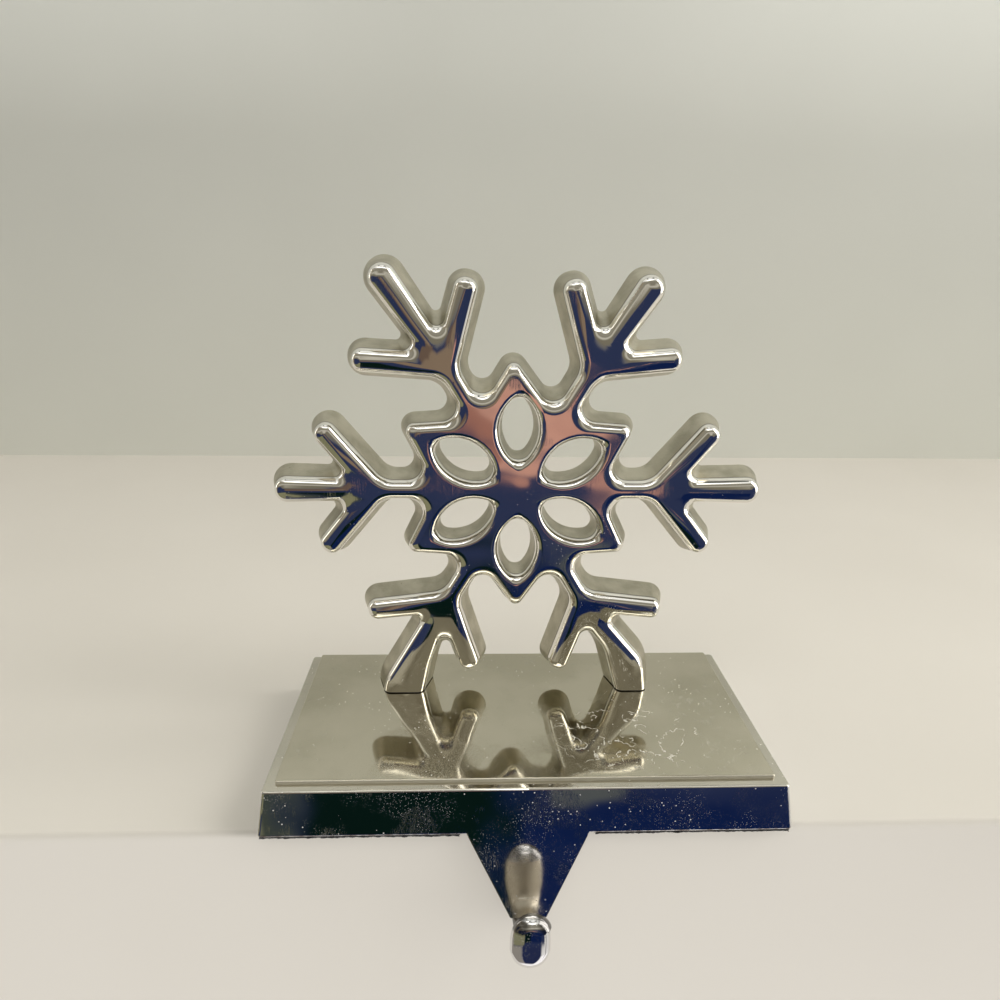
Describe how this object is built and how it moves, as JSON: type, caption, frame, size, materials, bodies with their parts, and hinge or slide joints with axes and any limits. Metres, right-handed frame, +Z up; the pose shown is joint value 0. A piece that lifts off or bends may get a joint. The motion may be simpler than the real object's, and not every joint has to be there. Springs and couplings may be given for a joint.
{
  "type": "mantel stocking holder",
  "caption": "Weighted mantel stand with an upright snowflake plate and a hook that hangs over the shelf's front edge.",
  "frame": {"origin": "middle of the pad's underside, on the shelf's top", "axes": "+X to the right seen from the front, -Y out over the shelf's front edge towards the hook's tip, +Z up"},
  "size_m": [0.1303, 0.0801, 0.158],
  "materials": {
    "polished_plate": "bright nickel plating, mirror polished in front and satin on the sides",
    "polished_base": "bright nickel plating, slightly hazy on top",
    "screw_steel": "plain zinc",
    "black_pad": "black felt"
  },
  "bodies": {
    "root": {"base_casting": "polished_base", "snowflake_casting": "polished_plate", "fixing_screws": "screw_steel", "felt_pad": "black_pad"}
  },
  "joints": []
}
